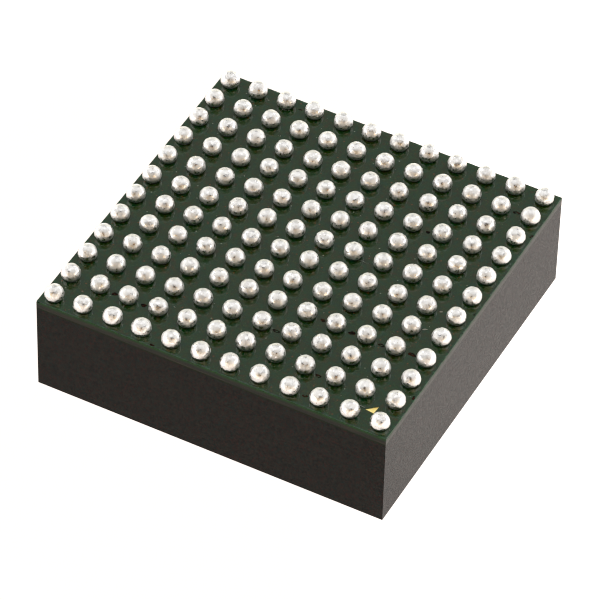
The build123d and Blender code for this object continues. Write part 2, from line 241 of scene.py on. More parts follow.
def solder_material():
    """Reflowed solder: satin, finely wrinkled, with smoother facets here and there."""
    m, n, p = material("reflowed_solder")
    v = n.coords()
    facet = n.noise(v, 6.0, 2.0, 0.5, 0.8)
    fine = n.noise(v, 19.0, 2.0, 0.55)
    smooth_spot = n.noise(v, 8.0, 1.0, 0.5)
    grain = n.voronoi(v, 5.5, "DISTANCE_TO_EDGE")
    crease = n.ramp(grain.outputs["Distance"], 0.0, 0.05)
    dots = n.voronoi(v, 5.0, "F1")
    pit = n.ramp(dots.outputs["Distance"], 0.05, 0.13)
    col = n.mix(n.ramp(facet, 0.35, 0.68), (0.73, 0.72, 0.705), (0.68, 0.665, 0.65))
    col = n.mix(n.ramp(fine, 0.60, 0.85), col, (0.55, 0.52, 0.48))
    col = n.mix(pit, (0.36, 0.29, 0.24), col)
    xyz = n.add("ShaderNodeSeparateXYZ")
    n.link(v, xyz.inputs[0])
    # painted shade: the ball's colour darkens to grey towards its foot, where it meets the mask, with a wavy boundary
    edge = n.math("MULTIPLY_ADD", facet, 0.10, -0.05)
    foot = n.ramp(n.math("ADD", xyz.outputs[2], edge), z_mask - 0.02, z_mask + 0.17)
    col = n.mix(foot, (0.20, 0.20, 0.185), col)
    p.inputs["Metallic"].default_value = 1.0
    n.link(col, p.inputs["Base Color"])
    r = n.ramp(smooth_spot, 0.36, 0.60, SOLDER_ROUGH[0], SOLDER_ROUGH[1], smooth=False)
    # smoother below the equator, where nothing has touched the ball
    r = n.math("MULTIPLY", r, n.ramp(xyz.outputs[2], z_ball - 0.15, z_ball - 0.01, 0.22, 1.0))
    n.link(r, p.inputs["Roughness"])
    b = n.bump(facet, 0.80, 0.016 * MM)
    b = n.bump(fine, 0.50, 0.0044 * MM, b)
    b = n.bump(crease, 0.40, 0.0025 * MM, b)
    b = n.bump(pit, 0.50, 0.0030 * MM, b)
    n.link(b, p.inputs["Normal"])
    return m


def mask_material(name="green_solder_mask", edge_band=True):
    m, n, p = material(name)
    v = n.coords()
    tone = n.noise(v, 0.9, 4.0, 0.6)
    small = n.noise(v, 5.5, 3.0, 0.62)
    fleck = n.noise(n.coords(offset=(7.0, 3.0, 11.0)), 13.0, 3.0, 0.65)
    col = n.mix(n.ramp(tone, 0.38, 0.62), (0.0046, 0.0270, 0.0016), (0.0100, 0.0240, 0.0016))
    col = n.mix(n.ramp(small, 0.46, 0.66, 0.0, 0.85), col, (0.0006, 0.0300, 0.0095))
    col = n.mix(n.ramp(small, 0.32, 0.44, 0.85, 0.0), col, (0.0260, 0.0200, 0.0010))
    col = n.mix(n.ramp(fleck, 0.54, 0.72, 0.0, 0.7), col, (0.0230, 0.0380, 0.0070))
    col = n.mix(n.ramp(fleck, 0.28, 0.44, 0.75, 0.0), col, (0.0020, 0.0050, 0.0008))
    rust = n.voronoi(n.coords(offset=(2.0, 9.0, 4.0)), 2.6, "F1")
    col = n.mix(n.ramp(rust.outputs["Distance"], 0.06, 0.13, 0.9, 0.0), col, (0.0750, 0.0300, 0.0060))
    chalk = n.voronoi(n.coords(offset=(12.0, 5.0, 8.0)), 2.1, "F1")
    col = n.mix(n.ramp(chalk.outputs["Distance"], 0.045, 0.085, 0.9, 0.0), col, (0.1300, 0.1500, 0.1100))
    rough = n.ramp(small, 0.3, 0.7, 0.01, 0.04, smooth=False)
    if edge_band:
        xyz = n.add("ShaderNodeSeparateXYZ")
        n.link(v, xyz.inputs[0])
        ax = n.math("ABSOLUTE", xyz.outputs[0])
        ay = n.math("ABSOLUTE", xyz.outputs[1])
        away = n.math("MAXIMUM", ax, ay)
        wob = n.math("MULTIPLY_ADD", n.noise(v, 3.0, 3.0, 0.6), 0.07, -0.035)
        band = n.ramp(n.math("ADD", away, wob), half - 0.12, half - 0.02)
        rim = n.mix(n.ramp(small, 0.36, 0.62), (0.0030, 0.0150, 0.0045), (0.0040, 0.0400, 0.0110))
        col = n.mix(band, col, rim)
        rough = n.math("ADD", rough, n.math("MULTIPLY", band, 0.25))
    else:
        col = n.mix(0.8, col, (0.0050, 0.0045, 0.0025))
        rough = n.math("ADD", rough, 0.25)
    n.link(col, p.inputs["Base Color"])
    n.link(rough, p.inputs["Roughness"])
    p.inputs["IOR"].default_value = 1.47 if edge_band else 1.16
    b = n.bump(n.noise(v, 4.0, 2.0, 0.5), 0.30, 0.0045 * MM)
    b = n.bump(n.noise(v, 15.0, 3.0, 0.6), 0.25, 0.0010 * MM, b)
    n.link(b, p.inputs["Normal"])
    return m


def mask_edge_material():
    """The sawn side of the mask: dull, torn, lighter green in places."""
    m, n, p = material("solder_mask_sawn_edge")
    v = n.coords()
    a = n.noise(v, 3.2, 4.0, 0.65)
    b = n.noise(n.coords(offset=(5.0, 8.0, 2.0)), 14.0, 3.0, 0.6)
    col = n.mix(n.ramp(a, 0.36, 0.64), (0.0050, 0.0190, 0.0030), (0.0080, 0.0500, 0.0070))
    col = n.mix(n.ramp(b, 0.56, 0.74, 0.0, 0.8), col, (0.0300, 0.0650, 0.0250))
    col = n.mix(n.ramp(b, 0.28, 0.42, 0.7, 0.0), col, (0.0020, 0.0060, 0.0020))
    n.link(col, p.inputs["Base Color"])
    n.link(n.ramp(b, 0.3, 0.7, 0.30, 0.46, smooth=False), p.inputs["Roughness"])
    p.inputs["IOR"].default_value = 1.22
    n.link(n.bump(b, 0.5, 0.005 * MM), p.inputs["Normal"])
    return m


def mould_material():
    """Filled epoxy, sawn on the sides: near black, finely speckled, glossier at a low angle."""
    m, n, p = material("moulding_compound")
    v = n.coords()
    filler = n.noise(v, 13.0, 3.0, 0.75)
    tint = n.noise(n.coords(offset=(31.0, 17.0, 5.0)), 13.0, 2.0, 0.7)
    cool = n.noise(n.coords(offset=(3.0, 41.0, 23.0)), 13.0, 2.0, 0.7)
    broad = n.noise(v, 1.1, 4.0, 0.6)
    # saw marks: long along the cut, short across it
    streak = n.noise(n.coords((140, 140, 7000)), 1.0, 4.0, 0.65)
    fine_streak = n.noise(n.coords((500, 500, 24000)), 1.0, 3.0, 0.6)
    col = n.mix(n.ramp(filler, 0.40, 0.62, smooth=False), (0.0002, 0.0002, 0.0001), (0.0125, 0.0115, 0.0085))
    col = n.mix(n.ramp(tint, 0.50, 0.68, 0.0, 0.8), col, (0.0210, 0.0045, 0.0035))
    col = n.mix(n.ramp(cool, 0.52, 0.70, 0.0, 0.8), col, (0.0012, 0.0115, 0.0110))
    col = n.mix(n.ramp(streak, 0.50, 0.70, 0.0, 0.55), col, (0.0120, 0.0110, 0.0090))
    col = n.mix(n.ramp(broad, 0.45, 0.75, 0.0, 0.3), col, (0.0080, 0.0068, 0.0058))
    n.link(col, p.inputs["Base Color"])
    n.link(n.ramp(filler, 0.3, 0.7, 0.36, 0.20, smooth=False), p.inputs["Roughness"])
    p.inputs["IOR"].default_value = 1.165
    b = n.bump(filler, 0.80, 0.011 * MM)
    b = n.bump(streak, 0.12, 0.004 * MM, b)
    b = n.bump(fine_streak, 0.08, 0.002 * MM, b)
    n.link(b, p.inputs["Normal"])
    return m


def moulded_face_material():
    """The face that came out of the mould: matte, finely eroded, with faint flow clouds."""
    m, n, p = material("moulded_face")
    v = n.coords(offset=(0.37, 0.21, 0.43))
    grit = n.noise(v, 7.5, 4.0, 0.7)
    pore = n.voronoi(v, 4.5, "F1")
    flow = n.noise(v, 0.32, 3.0, 0.55, 1.4)
    col = n.mix(n.ramp(grit, 0.38, 0.64, smooth=False), (0.0036, 0.0034, 0.0031), (0.0230, 0.0218, 0.0200))
    col = n.mix(n.ramp(flow, 0.40, 0.66, 0.0, 0.55), col, (0.0200, 0.0188, 0.0170))
    col = n.mix(n.ramp(pore.outputs["Distance"], 0.05, 0.15, 0.8, 0.0), col, (0.0015, 0.0015, 0.0013))
    n.link(col, p.inputs["Base Color"])
    rough = n.math("ADD", n.ramp(grit, 0.3, 0.7, 0.58, 0.42, smooth=False), n.ramp(flow, 0.35, 0.70, 0.0, 0.10))
    n.link(rough, p.inputs["Roughness"])
    p.inputs["IOR"].default_value = 1.33
    n.link(n.bump(grit, 0.6, 0.012 * MM), p.inputs["Normal"])
    return m


def laminate_material():
    """Cut edge of the laminate: glass and resin layers, greener towards the mask."""
    m, n, p = material("laminate_core")
    v = n.coords()
    xyz = n.add("ShaderNodeSeparateXYZ")
    n.link(v, xyz.inputs[0])
    z = xyz.outputs[2]
    weave = n.noise(n.coords((900, 900, 16000)), 1.0, 3.0, 0.6)
    glass = n.noise(n.coords((2600, 2600, 30000)), 1.0, 2.0, 0.6)
    spot = n.noise(v, 9.0, 3.0, 0.6)
    wob = n.math("MULTIPLY_ADD", n.noise(n.coords((2500, 2500, 2500)), 1.0, 3.0, 0.6), 0.08, -0.04)
    zw = n.math("ADD", z, wob)
    col = n.mix(n.ramp(weave, 0.4, 0.65), (0.0035, 0.0040, 0.0015), (0.0120, 0.0105, 0.0040))
    col = n.mix(n.ramp(spot, 0.55, 0.75, 0.0, 0.6), col, (0.0070, 0.0110, 0.0035))
    green = n.ramp(zw, 4.20, 4.33)
    col = n.mix(green, col, (0.0024, 0.0190, 0.0010))
    n.link(col, p.inputs["Base Color"])
    rough = n.ramp(spot, 0.3, 0.7, 0.24, 0.38, smooth=False)
    n.link(n.math("ADD", rough, n.math("MULTIPLY", green, 0.09)), p.inputs["Roughness"])
    p.inputs["IOR"].default_value = 1.26
    b = n.bump(weave, 0.4, 0.004 * MM)
    b = n.bump(glass, 0.3, 0.003 * MM, b)
    n.link(b, p.inputs["Normal"])
    return m


def metal_material(name, light, dark, rough=(0.25, 0.4), scale=12.0, brush=(1000, 1000, 1000), bump=0.002):
    m, n, p = material(name)
    v = n.coords(brush)
    a = n.noise(v, scale, 4.0, 0.6)
    b = n.noise(v, scale * 0.21, 2.0, 0.5)
    n.link(n.mix(n.ramp(b, 0.35, 0.7), light, dark), p.inputs["Base Color"])
    p.inputs["Metallic"].default_value = 1.0
    n.link(n.ramp(a, 0.3, 0.7, rough[0], rough[1], smooth=False), p.inputs["Roughness"])
    n.link(n.bump(a, 0.4, bump * MM), p.inputs["Normal"])
    return m


def body_material(name, light, dark, rough=(0.35, 0.5), scale=14.0, ior=1.5, bump=0.003):
    m, n, p = material(name)
    v = n.coords()
    a = n.noise(v, scale, 4.0, 0.65)
    b = n.noise(v, scale * 0.15, 2.0, 0.5)
    col = n.mix(n.ramp(a, 0.35, 0.68), dark, light)
    col = n.mix(n.ramp(b, 0.45, 0.75, 0.0, 0.35), col, dark)
    n.link(col, p.inputs["Base Color"])
    n.link(n.ramp(a, 0.3, 0.7, rough[0], rough[1], smooth=False), p.inputs["Roughness"])
    p.inputs["IOR"].default_value = ior
    n.link(n.bump(a, 0.4, bump * MM), p.inputs["Normal"])
    return m


mat_solder = solder_material()
mat_mask = mask_material()
mat_mask_edge = mask_edge_material()
mat_mask_low = mask_material("component_side_mask", edge_band=False)
mat_mould = mould_material()
mat_moulded_face = moulded_face_material()
mat_laminate = laminate_material()
mat_gold = metal_material("gold_plating", (1.0, 0.84, 0.33), (0.98, 0.70, 0.21), (0.34, 0.55), 22.0, bump=0.008)
mat_copper = metal_material("copper", (0.86, 0.46, 0.30), (0.76, 0.38, 0.24), (0.28, 0.45), 16.0)
mat_wire = metal_material("gold_wire", (0.96, 0.74, 0.32), (0.90, 0.66, 0.26), (0.15, 0.25), 30.0)
mat_tin = metal_material("tin_terminal", (0.74, 0.73, 0.71), (0.62, 0.61, 0.59), (0.38, 0.55), 18.0)
mat_joint = metal_material("joint_solder", (0.72, 0.71, 0.69), (0.60, 0.59, 0.57), (0.25, 0.45), 14.0)
mat_ferrite = body_material("sintered_ferrite", (0.050, 0.050, 0.054), (0.026, 0.026, 0.029), (0.45, 0.65), 11.0)
mat_silicon = body_material("silicon_die", (0.105, 0.112, 0.130), (0.070, 0.075, 0.088), (0.12, 0.22), 20.0, ior=1.9, bump=0.0008)
mat_epoxy = body_material("die_epoxy", (0.42, 0.42, 0.43), (0.33, 0.33, 0.34), (0.35, 0.5), 18.0)
mat_ceramic = body_material("capacitor_ceramic", (0.30, 0.195, 0.115), (0.22, 0.14, 0.085), (0.35, 0.5), 15.0)
mat_resistor = body_material("resistor_glaze", (0.030, 0.030, 0.032), (0.018, 0.018, 0.020), (0.18, 0.30), 12.0)

finish = {
    "mould_cap": mat_mould,
    "substrate_core": mat_laminate,
    "plated_vias": mat_copper,
    "ball_side_copper": mat_copper,
    "pin_one_mark": mat_gold,
    "ball_side_solder_mask": mat_mask,
    "component_side_copper": mat_copper,
    "component_side_solder_mask": mat_mask_low,
    "solder_balls": mat_solder,
    "left_inductor_base": mat_ferrite,
    "right_inductor_base": mat_ferrite,
    "left_inductor_cap": mat_ferrite,
    "right_inductor_cap": mat_ferrite,
    "left_inductor_strap": mat_copper,
    "right_inductor_strap": mat_copper,
    "low_side_mosfets": mat_silicon,
    "high_side_mosfets": mat_silicon,
    "mosfet_clips": mat_copper,
    "clip_solder": mat_joint,
    "controller_die": mat_silicon,
    "controller_die_attach": mat_epoxy,
    "controller_bond_wires": mat_wire,
    "input_capacitors": mat_ceramic,
    "input_capacitor_terminals": mat_tin,
    "output_capacitors": mat_ceramic,
    "output_capacitor_terminals": mat_tin,
    "small_capacitors": mat_ceramic,
    "small_capacitor_terminals": mat_tin,
    "resistors": mat_resistor,
    "resistor_terminals": mat_tin,
    "component_solder_joints": mat_joint,
}
for name, o in nodes.items():
    m = finish[name]
    if not o.material_slots:
        o.data.materials.append(m)
    for s in o.material_slots:
        s.material = m

cap_mesh = nodes["mould_cap"].data
cap_mesh.materials.append(mat_moulded_face)
for f in cap_mesh.polygons:
    if f.normal.z < -0.9 and abs(f.center.z) < 0.01 * MM:
        f.material_index = len(cap_mesh.materials) - 1


# ------------------------------------------------------------------ solder balls
SEG, RINGS = 60, 32
foot_angle = math.acos((z_mask - 0.004 - z_ball) / ball_r)


def ball_template():
    """Unit directions and faces of one ball, from its crown down to its foot."""
    th = foot_angle * (np.arange(1, RINGS + 1) / RINGS)
    ph = 2 * math.pi * np.arange(SEG) / SEG
    d = [np.array([[0.0, 0.0, 1.0]])]
    for i, t in enumerate(th):
        p = ph + (i % 2) * math.pi / SEG
        d.append(np.stack([np.sin(t) * np.cos(p), np.sin(t) * np.sin(p), np.full(SEG, math.cos(t))], 1))
    d = np.concatenate(d)
    tris = [(0, 1 + j, 1 + (j + 1) % SEG) for j in range(SEG)]
    for i in range(RINGS - 1):
        a, b = 1 + i * SEG, 1 + (i + 1) * SEG
        for j in range(SEG):
            k = (j + 1) % SEG
            if i % 2 == 0:
                tris += [(a + j, b + j, a + k), (a + k, b + j, b + k)]
            else:
                tris += [(a + j, b + j, b + k), (a + j, b + k, a + k)]
    return d, np.array(tris)


ball_dirs, ball_tris = ball_template()
ring_last = 1 + (RINGS - 1) * SEG
n_sphere = len(ball_dirs)


def make_ball(rng, cx, cy):
    """One reflowed ball: slightly lumpy and off true, wetted down into its pad."""
    d = ball_dirs
    lump = Waves(rng, 3.2, 18)(d) * 0.0070
    mid = Waves(rng, 8.0, 26)(d)
    wrinkle = Waves(rng, 17.0, 34)(d)
    field = Waves(rng, 5.5, 18)(d)
    crease = np.exp(-((Waves(rng, 7.0, 22)(d) / 0.16) ** 2)) * smoothstep(-0.2, 0.9, field)
    size = 1.030 + rng.normal() * 0.008
    f = size * (1 + lump + 0.0065 * mid + 0.0032 * wrinkle - 0.0090 * crease)
    # a shallow round mark on the crown
    tilt = rng.normal(size=2) * 0.05
    away = np.arccos(np.clip(d @ np.array([tilt[0], tilt[1], 1.0]) / math.sqrt(1 + tilt @ tilt), -1, 1))
    ring = rng.uniform(0.20, 0.32)
    f = f - rng.uniform(0.002, 0.010) * np.exp(-(((away - ring) / 0.07) ** 2))
    p = d * f[:, None]
    low = smoothstep(0.80, 1.0, np.arccos(np.clip(d[:, 2], -1, 1)) / foot_angle)
    p = p * (1 - low[:, None]) + d * low[:, None] * np.array([size, size, 1.0])
    p *= ball_r
    off = rng.normal(size=2) * 0.010 + np.array([-0.008, -0.011])
    p[:, 0] += cx + off[0] * (1 - 0.5 * low)
    p[:, 1] += cy + off[1] * (1 - 0.5 * low)
    p[:, 2] += z_ball - 0.012
    p[:, 2] = np.clip(p[:, 2], z_mask - 0.006, z_top)
    # the foot flares to the wall of the mask's opening and is closed on the pad
    ang = 2 * math.pi * np.arange(SEG) / SEG + ((RINGS - 1) % 2) * math.pi / SEG
    pad = np.stack([cx + 0.3135 * np.cos(ang), cy + 0.3135 * np.sin(ang), np.full(SEG, z_pad + 0.0005)], 1)
    last_ring = p[ring_last:ring_last + SEG]
    neck = last_ring * 0.55 + pad * 0.45
    neck[:, 2] = z_mask - 0.020
    v = np.concatenate([p, neck, pad, np.array([[cx, cy, z_pad + 0.0005]])])
    t = []
    for a, b in ((ring_last, n_sphere), (n_sphere, n_sphere + SEG)):
        for j in range(SEG):
            k = (j + 1) % SEG
            t += [(a + j, b + j, b + k), (a + j, b + k, a + k)]
    last = n_sphere + 2 * SEG
    for j in range(SEG):
        t.append((n_sphere + SEG + (j + 1) % SEG, n_sphere + SEG + j, last))
    return v, np.concatenate([ball_tris, np.array(t)])


rng = np.random.default_rng(4107)
for row in range(count):
    vs, ts, base = [], [], 0
    y = -first + row * pitch
    for col in range(count):
        v, t = make_ball(rng, first - col * pitch, y)
        vs.append(v)
        ts.append(t + base)
        base += len(v)
    o = build("ball_row_%02d" % (row + 1), np.concatenate(vs), tris=np.concatenate(ts))
    o.data.materials.append(mat_solder)
    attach(o, "root")
    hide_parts("solder_balls")


# ------------------------------------------------------------------ solder mask
mask_rng = np.random.default_rng(77)
swell = Waves(mask_rng, 2 * math.pi / 1.3, 30, 2)
ripple = Waves(mask_rng, 2 * math.pi / 0.42, 40, 2)
chip_noise = Waves(mask_rng, 2 * math.pi / 0.35, 30, 2)
pits = np.stack([
    mask_rng.uniform(-half + 0.2, half - 0.2, 90),
    mask_rng.uniform(-half + 0.2, half - 0.2, 90),
    mask_rng.uniform(0.035, 0.075, 90),
    mask_rng.uniform(-0.0035, 0.0025, 90),
], 1)


def relief(x, y):
    """Height of the mask surface over its nominal level, in millimetres."""
    sd = np.full(x.shape, -9.0)
    for x0, x1, y0, y1 in planes:
        sd = np.maximum(sd, np.minimum(np.minimum(x - x0, x1 - x), np.minimum(y - y0, y1 - y)))
    near_x = np.abs(x - (np.round((x + first) / pitch) * pitch - first))
    near_y = np.abs(y - (np.round((y + first) / pitch) * pitch - first))
    front = y < -5.08
    disc = np.where(front, 0.375 - np.hypot(near_x, near_y), -9.0)
    sd = np.maximum(sd, disc)
    h = -0.008 * (1 - smoothstep(-0.06, 0.05, sd))
    h = h + 0.0007 * swell(np.stack([x, y], -1)) + 0.00012 * ripple(np.stack([x, y], -1))
    for px, py, a, b in via_marks:
        q = ((x - px) / (a * 0.9)) ** 2 + ((y - py) / (b * 0.9)) ** 2
        h = h - 0.009 * np.exp(-q)
    for px, py, r, dep in pits:
        m = (np.abs(x - px) < 3 * r) & (np.abs(y - py) < 3 * r)
        h[m] += dep * np.exp(-(((x[m] - px) ** 2 + (y[m] - py) ** 2) / (r * r)))
    border = half - np.maximum(np.abs(x), np.abs(y))
    h = h - 0.010 * (1 - smoothstep(0.0, 0.09, border)) * (1 + 0.4 * chip_noise(np.stack([x, y], -1)))
    return np.minimum(h, 0.0)


SIDE = 16                       # steps along each side of a cell
RAD = 8                         # rings from the opening to the cell's border


def mask_object():
    """The mask as one sheet with a real opening round each pad."""
    verts, quads = [], []
    base = 0
    walls = []
    for i in range(count):
        for j in range(count):
            cx, cy = -first + i * pitch, -first + j * pitch
            x0 = -half if i == 0 else cx - pitch / 2
            x1 = half if i == count - 1 else cx + pitch / 2
            y0 = -half if j == 0 else cy - pitch / 2
            y1 = half if j == count - 1 else cy + pitch / 2
            s = np.arange(SIDE) / SIDE
            bx = np.concatenate([x0 + (x1 - x0) * s, np.full(SIDE, x1), x1 - (x1 - x0) * s, np.full(SIDE, x0)])
            by = np.concatenate([np.full(SIDE, y0), y0 + (y1 - y0) * s, np.full(SIDE, y1), y1 - (y1 - y0) * s])
            ang = np.arctan2(by - cy, bx - cx)
            ix, iy = cx + open_r * np.cos(ang), cy + open_r * np.sin(ang)
            n = len(bx)
            for r in range(RAD + 1):
                t = r / RAD
                verts.append(np.stack([ix + (bx - ix) * t, iy + (by - iy) * t, np.zeros(n)], 1))
            # opening wall
            verts.append(np.stack([ix, iy, np.full(n, 1.0)], 1))
            k = np.arange(n)
            k1 = (k + 1) % n
            for r in range(RAD):
                a, b = base + r * n, base + (r + 1) * n
                quads.append(np.stack([a + k, b + k, b + k1, a + k1], 1))
            w = base + (RAD + 1) * n
            quads.append(np.stack([w + k, base + k, base + k1, w + k1], 1))
            base += (RAD + 2) * n
    v = np.concatenate(verts)
    q = np.concatenate(quads)
    top = v[:, 2] == 0.0
    flat_x, flat_y = v[:, 0].copy(), v[:, 1].copy()
    h = relief(flat_x, flat_y)
    v[:, 2] = np.where(top, z_mask + h, z_pad)
    # merge the cells' common borders
    key = np.round(np.stack([flat_x, flat_y, np.where(top, 0.0, 1.0)], 1), 5)
    _, idx, inv = np.unique(key, axis=0, return_index=True, return_inverse=True)
    v, q = v[idx], inv.reshape(-1)[q]
    # saw-cut outline: tiny chips bitten out of the outer border
    on_edge = (np.maximum(np.abs(v[:, 0]), np.abs(v[:, 1])) > half - 1e-6) & (v[:, 2] > z_pad + 0.01)
    xy = v[on_edge][:, :2]
    bite = 0.004 + 0.007 * np.clip(chip_noise(xy * 1.7 + 3.1), 0, 2)
    sx = np.where(np.abs(xy[:, 0]) > half - 1e-6, np.sign(xy[:, 0]), 0)
    sy = np.where(np.abs(xy[:, 1]) > half - 1e-6, np.sign(xy[:, 1]), 0)
    edge_index = np.nonzero(on_edge)[0]
    v[edge_index, 0] -= sx * bite
    v[edge_index, 1] -= sy * bite
    # outer wall, in order round the outline
    ang = np.arctan2(xy[:, 1], xy[:, 0])
    order = edge_index[np.argsort(ang)]
    nb = len(order)
    low = v[order].copy()
    low[:, 0] = np.where(np.abs(low[:, 0]) > half - 0.05, np.sign(low[:, 0]) * half, low[:, 0])
    low[:, 1] = np.where(np.abs(low[:, 1]) > half - 0.05, np.sign(low[:, 1]) * half, low[:, 1])
    mid = low.copy()
    mid[:, 2] = z_mask - 0.022
    low[:, 2] = z_mask_low
    off = len(v)
    v = np.concatenate([v, mid, low])
    k = np.arange(nb)
    k1 = (k + 1) % nb
    q = np.concatenate([
        q,
        np.stack([order, off + k, off + k1, order[k1]], 1),
        np.stack([off + k, off + nb + k, off + nb + k1, off + k1], 1),
    ])
    return build("ball_side_mask", v, q, sharp_angle=math.radians(40))


def cut_mark(obj, corners, floor_z):
    """Opens the mask over the plated mark, down to the copper, along straight walls."""
    pts = [Vector((x * MM, y * MM, 0)) for x, y in corners]
    mid = sum(pts, Vector()) / len(pts)
    bm = bmesh.new()
    bm.from_mesh(obj.data)
    level = floor_z * MM
    planes_n = []
    for a, b in zip(pts, pts[1:] + pts[:1]):
        nrm = Vector(((b - a).y, -(b - a).x, 0)).normalized()
        if (mid - a).dot(nrm) > 0:
            nrm = -nrm
        planes_n.append((a, nrm))
    for a, nrm in planes_n:
        near = [f for f in bm.faces if (f.calc_center_median().xy - mid.xy).length < 0.45 * MM
                and f.calc_center_median().z > level + 0.012 * MM and abs(f.normal.z) > 0.5]
        geom = near + list({e for f in near for e in f.edges}) + list({v for f in near for v in f.verts})
        bmesh.ops.bisect_plane(bm, geom=geom, dist=1e-8, plane_co=a, plane_no=nrm)
    inside = []
    for f in bm.faces:
        c = f.calc_center_median()
        if c.z > level + 0.012 * MM and all((Vector((c.x, c.y, 0)) - a).dot(nrm) < -1e-8 for a, nrm in planes_n):
            inside.append(f)
    rim = {e for f in inside for e in f.edges if sum(g in inside for g in e.link_faces) == 1}
    bmesh.ops.delete(bm, geom=inside, context="FACES")
    rim = [e for e in rim if e.is_valid]
    made = bmesh.ops.extrude_edge_only(bm, edges=rim)["geom"]
    for el in made:
        if isinstance(el, bmesh.types.BMVert):
            el.co.z = level
    wall = [el for el in made if isinstance(el, bmesh.types.BMFace)]
    for f in wall:
        f.smooth = False
        c = f.calc_center_median()
        f.normal_update()
        if f.normal.dot(Vector((mid.x - c.x, mid.y - c.y, 0))) < 0:
            f.normal_flip()
    for e in {e for f in wall for e in f.edges}:
        e.smooth = False
    loose = [v for v in bm.verts if not v.link_faces]
    bmesh.ops.delete(bm, geom=loose, context="VERTS")
    bm.to_mesh(obj.data)
    bm.free()


mask = mask_object()
cut_mark(mask, mark_corners, z_pad)
mask.data.materials.append(mat_mask)
mask.data.materials.append(mat_mask_edge)
for f in mask.data.polygons:
    if max(abs(f.center.x), abs(f.center.y)) > (half - 0.02) * MM and abs(f.normal.z) < 0.6:
        f.material_index = 1
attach(mask, "root")
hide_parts("ball_side_solder_mask")


def via_material():
    m, n, p = material("via_fill")
    v = n.coords()
    a = n.noise(v, 11.0, 3.0, 0.6)
    n.link(n.mix(n.ramp(a, 0.48, 0.66), (0.0022, 0.0016, 0.0010), (0.0420, 0.0110, 0.0030)), p.inputs["Base Color"])
    n.link(n.ramp(a, 0.3, 0.7, 0.35, 0.6, smooth=False), p.inputs["Roughness"])
    p.inputs["IOR"].default_value = 1.12
    n.link(n.bump(a, 0.4, 0.002 * MM), p.inputs["Normal"])
    return m


mat_via = via_material()
via_rng = np.random.default_rng(31)
verts, tris, base = [], [], 0
for px, py, a, b in via_marks:
    n_seg, n_ring = 28, 5
    ph = 2 * math.pi * np.arange(n_seg) / n_seg
    wob = 1 + 0.16 * np.cos(2 * ph + via_rng.uniform(0, 6.3)) + 0.10 * np.cos(3 * ph + via_rng.uniform(0, 6.3)) \
        + 0.06 * np.cos(5 * ph + via_rng.uniform(0, 6.3))
    pts = [np.array([[px, py]])]
    for r in range(1, n_ring + 1):
        f = r / n_ring
        pts.append(np.stack([px + a * f * wob * np.cos(ph), py + b * f * wob * np.sin(ph)], 1))
    pts = np.concatenate(pts)
    pts = np.clip(pts, -half + 0.013, half - 0.013)
    z = z_mask + relief(pts[:, 0].copy(), pts[:, 1].copy()) + 0.0012
    verts.append(np.column_stack([pts, z]))
    t = [(base, base + 1 + j, base + 1 + (j + 1) % n_seg) for j in range(n_seg)]
    for r in range(n_ring - 1):
        p0, p1 = base + 1 + r * n_seg, base + 1 + (r + 1) * n_seg
        for j in range(n_seg):
            k = (j + 1) % n_seg
            t += [(p0 + j, p1 + j, p1 + k), (p0 + j, p1 + k, p0 + k)]
    tris.append(np.array(t))
    base += len(pts)
vias = build("via_ends", np.concatenate(verts), tris=np.concatenate(tris))
vias.data.materials.append(mat_via)
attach(vias, "root")

# ------------------------------------------------------------------ lint and crumbs
def crumb_material(name, light, dark):
    m, n, p = material(name)
    v = n.coords()
    a = n.noise(v, 30.0, 3.0, 0.6)
    n.link(n.mix(n.ramp(a, 0.35, 0.65), dark, light), p.inputs["Base Color"])
    n.link(n.ramp(a, 0.3, 0.7, 0.6, 0.85, smooth=False), p.inputs["Roughness"])
    n.link(n.bump(a, 0.5, 0.003 * MM), p.inputs["Normal"])
    return m


mat_crumb = crumb_material("pale_crumb", (0.24, 0.23, 0.19), (0.13, 0.12, 0.09))
mat_lint = crumb_material("lint", (0.30, 0.32, 0.30), (0.20, 0.22, 0.20))
crumb_rng = np.random.default_rng(90)
# x, y, half length, half width, turn
crumbs = [
    (4.77, -3.47, 0.032, 0.028, 0.3),
    (6.25, -0.49, 0.070, 0.035, 0.9),
    (-2.75, -5.21, 0.060, 0.016, -0.3),
    (6.14, -1.66, 0.100, 0.030, 0.6),
    (-4.39, 6.68, 0.080, 0.026, 0.2),
    (1.97, -4.72, 0.060, 0.022, -0.4),
]
for _ in range(26):
    i, j = crumb_rng.integers(0, 11, 2)
    cx, cy = -first + (i + 0.5) * pitch, -first + (j + 0.5) * pitch
    crumbs.append((cx + crumb_rng.uniform(-0.2, 0.2), cy + crumb_rng.uniform(-0.2, 0.2),
                   crumb_rng.uniform(0.012, 0.030), crumb_rng.uniform(0.009, 0.018), crumb_rng.uniform(0, 3.1)))


